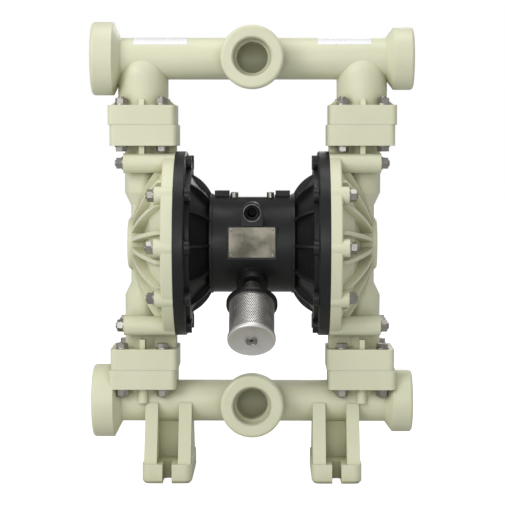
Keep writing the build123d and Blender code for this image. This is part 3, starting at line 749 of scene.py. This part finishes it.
slot_finishes = {
    "cream_plastic": cream,
    "black_plastic": black,
    "stainless": stainless,
    "rod_steel": rod_steel,
    "black_rubber": black_rubber,
    "white_ptfe": white_ptfe,
    "bushing_plastic": bushing_plastic,
    "spool_aluminium": spool_aluminium,
    "sleeve_brass": brass,
    "muffler_plastic": muffler_black,
    "muffler_steel": pressed_steel,
}


def finish_cad_nodes():
    """Give every CAD node the finish of its material slot."""
    for part in frame["record"]["subparts"]:
        node = frame["nodes"][part["node"]]
        node.data.materials.clear()
        node.data.materials.append(slot_finishes[part["material_slot"]])


# Fasteners


def nut_stack():
    """A washer, a nut and the bolt's end, standing on z = 0."""
    top = washer_height + nut_height
    nut = moved(hexagon_nut(nut_flats, nut_height, thread_radius), Matrix.Translation((0, 0, washer_height)))
    return [washer(), nut, stud(thread_radius * stud_shank, washer_height, top + stud_end)]


def head_stack():
    """A washer and a bolt's head, standing on z = 0."""
    head = moved(hexagon_head(nut_flats, head_height), Matrix.Translation((0, 0, washer_height)))
    return [washer(), head]


def rim_point(index):
    """The rim bolt's angle about X, its Y and Z, and whether it stands beside the liquid column."""
    angle = 2 * pi * (index + 0.5) / rim_bolt_count
    beside_column = abs(sin(angle)) < sin(long_boss_angle)
    return angle, -rim_bolt_circle * sin(angle), body_z + rim_bolt_circle * cos(angle), beside_column


def rim_fasteners(side, name):
    """The nuts outside the fluid cap and the heads in the air cap's pockets."""
    nuts = []
    heads = []
    for index in range(rim_bolt_count):
        angle, y, z, beside_column = rim_point(index)
        x = side * (long_nut_x if beside_column else short_nut_x)
        nuts.append(frame_at((x, y, z), (side, 0, 0), rim_nut_turn * index))
        heads.append(frame_at((side * rim_head_x, y, z), (-side, 0, 0), -side * angle))
    outside = placed(nut_stack(), nuts)
    piece(f"{name}_rim_nuts_detailed", outside, stainless, (f"{name}_rim_nuts",))
    inside = placed([hexagon_head(nut_flats, pocket_head_height)], heads)
    piece(f"{name}_rim_bolts_detailed", inside, stainless, (f"{name}_rim_bolts",))


def box_places(level, up):
    """The eight box bolts at one level, pointing up or down."""
    places = []
    for x_sign in (-1, 1):
        for inner in (0, 1):
            for y_sign in (-1, 1):
                x = x_sign * (box_bolt_outer_x - inner * box_bolt_spacing)
                turn = x * box_bolt_turn + y_sign
                places.append(frame_at((x, y_sign * box_bolt_y, level), (0, 0, up), turn))
    return places


def box_fasteners():
    """Nuts, heads and bolt ends of the valve boxes."""
    groups = (
        ("upper_box_nuts", nut_stack(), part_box("upper_box_nuts")[0].z, 1),
        ("upper_box_bolts", head_stack(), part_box("upper_box_bolts")[1].z, -1),
        ("lower_box_bolts", head_stack(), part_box("lower_box_bolts")[0].z, 1),
        ("lower_box_nuts", nut_stack(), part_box("lower_box_nuts")[1].z, -1),
    )
    for name, stack, level, up in groups:
        piece(f"{name}_detailed", placed(stack, box_places(level, up)), stainless, (name,))


# Small fittings on the barrel, the valve and the upper pipe


def bare_plate():
    """The blank plate with its four rivets."""
    centre = Vector((0, barrel_pad_y, body_z + plate_rise))
    plate = rounded_plate(plate_width, plate_height, plate_corner, plate_thickness)
    piece("bare_plate", placed([plate], [frame_at(centre, (0, -1, 0))]), plate_steel)
    rivets = []
    for x_sign in (-1, 1):
        for z_sign in (-1, 1):
            x = x_sign * (plate_width / 2 - rivet_inset)
            z = z_sign * (plate_height / 2 - rivet_inset)
            rivets.append(frame_at(centre + Vector((x, -plate_thickness, z)), (0, -1, 0)))
    piece("plate_rivets", placed([dome(rivet_radius, rivet_radius * rivet_rise)], rivets), stainless)


def inlet_ring():
    """The raised ring round the air inlet's mouth."""
    place = frame_at((0, inlet_face_y, body_z + inlet_lift), (0, -1, 0))
    bead = ring_bead(inlet_ring_radius, inlet_ring_width, inlet_ring_height)
    piece("inlet_ring", placed([bead], [place]), stainless)


def cover_screws():
    """The four socket screws of the top cover."""
    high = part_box("top_cover")[1]
    places = []
    for x_sign in (-1, 1):
        for y_sign in (-1, 1):
            x = x_sign * (high.x - cover_screw_inset)
            y = y_sign * (high.y - cover_screw_inset)
            places.append(frame_at((x, y, high.z), (0, 0, 1), x * cover_screw_turn + y))
    screw = socket_screw(cover_screw_radius, cover_screw_height)
    piece("cover_screws", placed([screw], places), stainless)


def valve_screws():
    """The socket screws on the back of the air valve and on its two end caps."""
    low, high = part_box("valve_body")
    back = []
    for x_sign in (-1, 1):
        for z in (low.z + valve_screw_inset, high.z - valve_screw_inset):
            back.append(frame_at((x_sign * (high.x - valve_screw_inset), high.y, z), (0, 1, 0)))
    screw = socket_screw(valve_screw_radius, valve_screw_height)
    piece("valve_screws", placed([screw], back), stainless)
    ends = []
    for side, name in sides:
        cap_low, cap_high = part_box(f"{name}_valve_end_cap")
        face = max(abs(cap_low.x), abs(cap_high.x))
        y = (cap_low.y + cap_high.y) / 2
        for z_sign in (-1, 1):
            ends.append(frame_at((side * face, y, body_z + z_sign * end_screw_spread), (side, 0, 0)))
    end_screw = socket_screw(end_screw_radius, end_screw_height)
    piece("valve_end_screws", placed([end_screw], ends), stainless)


def port_threads():
    """Thread ridges in the six pipe ports and the air inlet."""
    port = internal_thread(port_radius, port_pitch, port_thread_depth, port_thread_length)
    for name, pipe_z in (("upper", upper_pipe_z), ("lower", lower_pipe_z)):
        low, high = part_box(f"{name}_manifold")
        places = [
            frame_at((low.x + port_chamfer, 0, pipe_z), (-1, 0, 0)),
            frame_at((high.x - port_chamfer, 0, pipe_z), (1, 0, 0)),
            frame_at((0, port_chamfer - front_port_reach, pipe_z), (0, -1, 0)),
        ]
        piece(f"{name}_port_threads", placed([port], places), cream)
    inlet = internal_thread(inlet_radius, inlet_pitch, inlet_thread_depth, inlet_thread_length)
    mouth = frame_at((0, inlet_face_y + inlet_chamfer, body_z + inlet_lift), (0, -1, 0))
    piece("inlet_threads", placed([inlet], [mouth]), black)


def pipe_strips():
    """The two blank white strips on the upper pipe."""
    place = Matrix.Translation((0, 0, upper_pipe_z))
    angles = (strip_back_angle, strip_front_angle)
    for side, name in sides:
        x_range = sorted((side * strip_near_x, side * strip_far_x))
        film = curved_film(upper_pipe_radius, film_thickness, x_range, angles)
        piece(f"{name}_blank_strip", [moved(film, place)], white_film)


# Muffler


def muffler_place():
    """The muffler's own frame, its Z axis running out of the barrel."""
    return frame_at((0, 0, body_z), (0, -cos(muffler_tilt), -sin(muffler_tilt)))


def muffler_neck(place):
    """The threaded neck between the barrel's boss and the muffler's base."""
    grooves = threaded_profile(
        muffler_neck_radius,
        muffler_boss_end,
        muffler_mesh_start,
        muffler_thread_pitch,
        muffler_thread_depth,
    )
    neck = [(muffler_neck_radius, muffler_neck_start)] + grooves
    neck.append((muffler_neck_radius, muffler_mesh_start))
    neck.append((muffler_neck_bore, muffler_mesh_start))
    neck.append((muffler_neck_bore, muffler_neck_start))
    shown = placed([lofted(neck, closed=True)], [place])
    piece("muffler_neck_threaded", shown, zinc, ("muffler_neck",))


def muffler_mesh(place):
    """The perforated tube and the dark core inside it."""
    tube = perforated_tube(mesh_radius, muffler_mesh_start, muffler_mesh_end, mesh_hole)
    shown = placed([tube], [place])
    skin = piece("muffler_mesh_perforated", shown, mesh_steel, ("muffler_mesh",))
    skin.data.shade_flat()
    wall = skin.modifiers.new("wall", "SOLIDIFY")
    wall.thickness = mesh_wall
    wall.offset = -1
    core = lofted([(core_radius, muffler_mesh_start), (core_radius, muffler_mesh_end)])
    piece("muffler_core", placed([core], [place]), felt)


def muffler_end_plate(place, flat):
    """The pressed plate with its rolled edge and lip."""
    bore = mesh_radius + end_plate_gap
    lip = muffler_mesh_end - end_plate_lip
    plate = [(bore, lip), (end_plate_radius, lip)]
    plate += quarter_round(end_plate_radius, muffler_mesh_end + end_plate_thickness, end_plate_round)
    plate.append((end_plate_radius - end_plate_border, flat))
    plate.append((eyelet_neck, flat))
    plate.append((eyelet_neck, muffler_mesh_end))
    plate.append((bore, muffler_mesh_end))
    shown = placed([lofted(plate, end_plate_segments, closed=True)], [place])
    piece("muffler_end_plate_rolled", shown, pressed_steel, ("muffler_end_plate",))


def muffler_eyelet(place, flat, steps=6):
    """The cupped eyelet in the middle of the end plate."""
    eyelet = [(eyelet_radius, flat)]
    eyelet += quarter_round(eyelet_radius, flat + eyelet_height, eyelet_rim, steps=3)
    for step in range(steps + 1):
        angle = pi / 2 * step / steps
        radius = eyelet_bore + (eyelet_radius - 2 * eyelet_rim - eyelet_bore) * cos(angle)
        eyelet.append((radius, flat + eyelet_height - (eyelet_height - eyelet_floor) * sin(angle)))
    eyelet.append((eyelet_bore, muffler_mesh_end))
    eyelet.append((eyelet_neck, muffler_mesh_end))
    eyelet.append((eyelet_neck, flat))
    shown = placed([lofted(eyelet, closed=True)], [place])
    piece("muffler_eyelet_cupped", shown, stainless, ("muffler_eyelet",))


def muffler():
    """The whole muffler in front of its base."""
    place = muffler_place()
    flat = muffler_mesh_end + end_plate_thickness - end_plate_dish
    muffler_neck(place)
    muffler_mesh(place)
    muffler_end_plate(place, flat)
    muffler_eyelet(place, flat)


# Diaphragms


def fold_sink(radius):
    """How far the fold hangs towards the air side at a radius."""
    reach = min(radius - fold_inner, fold_outer - radius) / fold_slope
    share = max(0.0, min(1.0, reach))
    return fold_depth * share * share * (3 - 2 * share)


def diaphragm_section():
    """(radius, height) points round the section: air side, bead, liquid side. The rims meet at 0."""
    radii = [diaphragm_hole]
    radii += [fold_inner + (fold_outer - fold_inner) * step / fold_steps for step in range(fold_steps + 1)]
    half = diaphragm_thickness / 2
    air = [(radius, -half - fold_sink(radius)) for radius in radii]
    bead = [
        (bead_inner, -half),
        (bead_inner, -bead_height),
        (bead_outer, -bead_height),
        (bead_outer, bead_height),
        (bead_inner, bead_height),
        (bead_inner, half),
    ]
    liquid = [(radius, half - fold_sink(radius)) for radius in reversed(radii)]
    return air + bead + liquid


def diaphragms():
    """Each diaphragm as sectors swept about the rod's axis, from the rod's hole through the fold to the
    bead, left unattached to the housing.
    """
    sector = 2 * pi / diaphragm_sectors
    template = swept_sector(diaphragm_section(), sector)
    for side, name in sides:
        for index in range(diaphragm_sectors):
            place = frame_at((side * rim_parting, 0, body_z), (side, 0, 0), sector * index)
            made = piece(
                f"{name}_diaphragm_sector_{index + 1}",
                placed([template], [place]),
                black_rubber,
                (f"{name}_diaphragm",),
                rides=False,
            )
            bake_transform(made)


# Camera, light and floor


def area_light(name, place, target, size, power):
    """A soft square light aimed at a point."""
    data = bpy.data.lights.new(name, "AREA")
    data.shape = "SQUARE"
    data.size = size
    data.energy = power
    made = bpy.data.objects.new(name, data)
    made.location = place
    made.rotation_euler = (Vector(target) - Vector(place)).to_track_quat("-Z", "Y").to_euler()
    bpy.context.scene.collection.objects.link(made)


def camera():
    """The photograph's view, through a long lens."""
    data = bpy.data.cameras.new("camera")
    data.lens = camera_lens
    data.sensor_width = camera_sensor
    made = bpy.data.objects.new("camera", data)
    made.location = camera_place
    made.rotation_euler = (Vector(camera_target) - made.location).to_track_quat("-Z", "Y").to_euler()
    bpy.context.scene.collection.objects.link(made)
    bpy.context.scene.camera = made


def camera_only(nodes, links, lit, seen):
    """One strength for the camera's rays and another for the rays that carry light."""
    path = nodes.new("ShaderNodeLightPath")
    return spread(nodes, links, path.outputs["Is Camera Ray"], lit, seen, 0.0, 1.0)


def world():
    """An even pale sky; the camera sees it as white."""
    made = bpy.data.worlds.new("studio")
    made.use_nodes = True
    nodes = made.node_tree.nodes
    links = made.node_tree.links
    background = nodes["Background"]
    background.inputs["Color"].default_value = (1, 1, 1, 1)
    links.new(camera_only(nodes, links, sky_lit, sky_seen), background.inputs["Strength"])
    bpy.context.scene.world = made


def floor():
    """A pale floor; to the camera it is white wherever nothing shades it deeply."""
    mesh = bpy.data.meshes.new("floor")
    corners = [(x * floor_reach, y * floor_reach, 0) for x, y in ((-1, -1), (1, -1), (1, 1), (-1, 1))]
    mesh.from_pydata(corners, [], [(0, 1, 2, 3)])
    material, nodes, links, principled = shader("pale_floor")
    principled.inputs["Base Color"].default_value = (floor_tone, floor_tone, floor_tone, 1)
    principled.inputs["Roughness"].default_value = floor_roughness
    links.new(camera_only(nodes, links, 0.0, floor_seen), principled.inputs["Emission Strength"])
    principled.inputs["Emission Color"].default_value = (1, 1, 1, 1)
    mesh.materials.append(material)
    made = bpy.data.objects.new("floor", mesh)
    bpy.context.scene.collection.objects.link(made)


finish_cad_nodes()
for side, name in sides:
    rim_fasteners(side, name)
box_fasteners()
bare_plate()
inlet_ring()
cover_screws()
valve_screws()
port_threads()
pipe_strips()
muffler()
diaphragms()
camera()
world()
floor()
for lamp in lamps:
    area_light(*lamp)
bpy.context.scene.view_settings.view_transform = "Standard"
